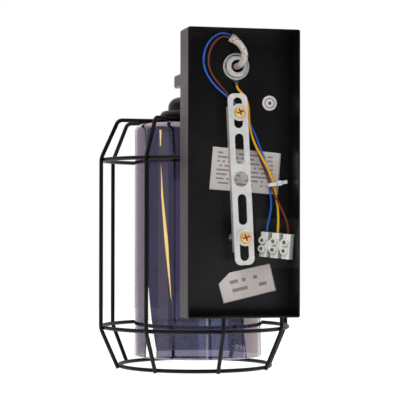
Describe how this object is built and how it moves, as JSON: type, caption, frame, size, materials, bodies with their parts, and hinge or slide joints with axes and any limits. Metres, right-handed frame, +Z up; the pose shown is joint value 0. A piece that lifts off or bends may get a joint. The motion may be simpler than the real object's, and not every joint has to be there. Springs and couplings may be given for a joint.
{
  "type": "cage wall light",
  "caption": "Wall light with a shallow steel back box, an arm, a hanging lampholder, an open-bottomed glass cylinder and a wire cage.",
  "frame": {"origin": "centre of the back box's rim, in the wall plane", "axes": "+Z up, +Y into the wall, so the light's front faces -Y"},
  "size_m": [0.1516, 0.2168, 0.2458],
  "materials": {
    "box_paint": "satin black powder coat",
    "zinc": "bright zinc plate",
    "tin": "tinned copper",
    "strap_zinc": "zinc plated sheet",
    "yellow_zinc": "yellow passivated zinc",
    "black_metal": "black paint",
    "black_plastic": "black moulded thermoset",
    "white_plastic": "natural white nylon",
    "brass": "bare brass",
    "smoked_glass": "smoke grey glass with a slight mirror",
    "rubber": "soft gasket rubber",
    "sheet_plastic": "dull black sheet",
    "sleeve_fabric": "varnished glass-fibre braid",
    "wire_blue": "insulation",
    "wire_brown": "insulation",
    "wire_earth": "striped insulation",
    "tie_plastic": "natural nylon",
    "cage_paint": "satin black powder coat",
    "screw_steel": "plated steel"
  },
  "bodies": {
    "root": {"wall_box": "box_paint", "arm_socket": "box_paint", "arm_tube": "box_paint", "box_nipple": "zinc", "earth_lug": "tin", "nipple_washer": "zinc", "nipple_nut": "zinc", "strap_screws": "yellow_zinc", "strap_washers": "zinc", "strap_lock_nuts": "yellow_zinc", "cap_nuts": "black_metal", "arm_nut": "zinc", "holder_nipple": "zinc", "holder_spacer": "black_metal", "lampholder_cap": "black_plastic", "upper_clamp_ring": "black_plastic", "lampholder_skirt": "black_plastic", "contact_block": "white_plastic", "screw_shell": "brass", "terminal_block": "white_plastic", "terminal_inserts": "brass", "insulating_sheet": "sheet_plastic", "heat_sleeve": "sleeve_fabric", "wire_blue": "wire_blue", "wire_brown": "wire_brown", "wire_earth": "wire_earth", "cable_tie": "tie_plastic"},
    "strap": {"mounting_strap": "strap_zinc"},
    "shade_and_cage": {"glass_shade": "smoked_glass", "glass_gasket": "rubber", "cage_hub": "cage_paint", "cage_upper_hoop": "cage_paint", "cage_lower_hoop": "cage_paint", "cage_bottom_ring": "cage_paint", "cage_rib_1": "cage_paint", "cage_rib_2": "cage_paint", "cage_rib_3": "cage_paint", "cage_rib_4": "cage_paint", "cage_rib_5": "cage_paint", "cage_rib_6": "cage_paint", "cage_rib_7": "cage_paint", "cage_rib_8": "cage_paint"},
    "shade_ring_body": {"shade_ring": "black_plastic"},
    "contact_leaf": {"centre_contact": "brass"},
    "terminal_screw_1": {"clamp_screw_1": "screw_steel"},
    "terminal_screw_2": {"clamp_screw_2": "screw_steel"},
    "terminal_screw_3": {"clamp_screw_3": "screw_steel"},
    "terminal_screw_4": {"clamp_screw_4": "screw_steel"},
    "terminal_screw_5": {"clamp_screw_5": "screw_steel"},
    "terminal_screw_6": {"clamp_screw_6": "screw_steel"}
  },
  "joints": [
    {"name": "strap_slide", "type": "slide", "parent": "root", "child": "strap", "axis": [0.0488, 0, 0.9988], "range_m": [-0.0026, 0.0085]},
    {"name": "shade_lowering", "type": "slide", "parent": "root", "child": "shade_and_cage", "axis": [0, 0, -1], "range_m": [0, 0.0335]},
    {"name": "shade_ring_turn", "type": "hinge", "parent": "shade_and_cage", "child": "shade_ring_body", "pos_m": [-0.0012, -0.141, 0.036], "axis": [0, 0, -1], "range_deg": [0, 4860]},
    {"name": "contact_flex", "type": "hinge", "parent": "root", "child": "contact_leaf", "pos_m": [-0.0077, -0.141, 0.02925], "axis": [0, -1, 0], "range_deg": [0, 8], "stiffness_Nm_per_rad": 0.02},
    {"name": "clamp_screw_1_travel", "type": "slide", "parent": "root", "child": "terminal_screw_1", "axis": [0.6561, 0.7547, 0], "range_m": [-0.002, 0.001]},
    {"name": "clamp_screw_2_travel", "type": "slide", "parent": "root", "child": "terminal_screw_2", "axis": [0.6561, 0.7547, 0], "range_m": [0, 0.0025]},
    {"name": "clamp_screw_3_travel", "type": "slide", "parent": "root", "child": "terminal_screw_3", "axis": [0.6561, 0.7547, 0], "range_m": [-0.002, 0.001]},
    {"name": "clamp_screw_4_travel", "type": "slide", "parent": "root", "child": "terminal_screw_4", "axis": [0.6561, 0.7547, 0], "range_m": [0, 0.0025]},
    {"name": "clamp_screw_5_travel", "type": "slide", "parent": "root", "child": "terminal_screw_5", "axis": [0.6561, 0.7547, 0], "range_m": [-0.002, 0.001]},
    {"name": "clamp_screw_6_travel", "type": "slide", "parent": "root", "child": "terminal_screw_6", "axis": [0.6561, 0.7547, 0], "range_m": [0, 0.0025]}
  ],
  "couplings": [
    {"joint": "shade_ring_turn", "follows": "shade_lowering", "rad_per_m": 2513.3}
  ]
}
